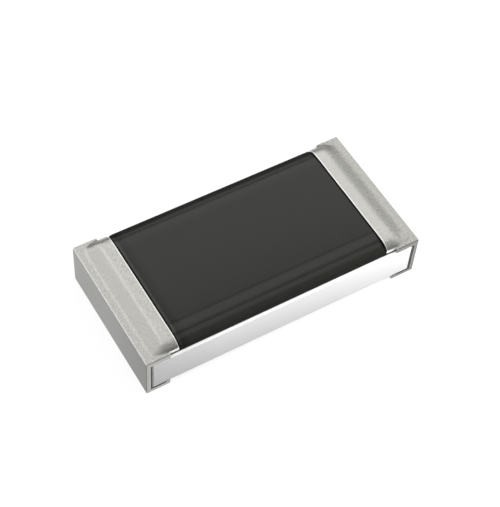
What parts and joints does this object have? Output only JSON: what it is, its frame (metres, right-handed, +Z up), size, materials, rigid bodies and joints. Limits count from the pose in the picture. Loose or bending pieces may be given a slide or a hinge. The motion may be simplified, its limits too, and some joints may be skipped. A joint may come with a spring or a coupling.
{
  "type": "chip resistor",
  "caption": "Flat rectangular surface-mount chip resistor: a white ceramic block under a black coat with rolled long edges, and a C-shaped matte metal termination wrapped round each end.",
  "frame": {"origin": "centre of the underside, on the board plane that the terminations rest on", "axes": "+X along the length from the left to the right termination, +Y across the width, +Z up through the coat"},
  "size_m": [0.0032, 0.0016, 0.0006],
  "materials": {
    "alumina": "fine matte white ceramic",
    "resistor_print": "dark fired print",
    "overcoat_glass": "fired glass, greenish",
    "black_coat": "smooth black resin, soft gloss",
    "silver_print": "fired silver print",
    "dark_electrode": "dark thin conductor",
    "nickel": "plated nickel, satin",
    "matte_tin": "matte plated tin, fine grain"
  },
  "bodies": {
    "root": {"ceramic_substrate": "alumina", "resistive_film": "resistor_print", "glass_overcoat": "overcoat_glass", "protective_coat": "black_coat", "top_electrode_left": "silver_print", "top_electrode_right": "silver_print", "bottom_electrode_left": "silver_print", "bottom_electrode_right": "silver_print", "end_electrode_left": "dark_electrode", "end_electrode_right": "dark_electrode", "nickel_barrier_left": "nickel", "nickel_barrier_right": "nickel", "tin_termination_left": "matte_tin", "tin_termination_right": "matte_tin"}
  },
  "joints": []
}
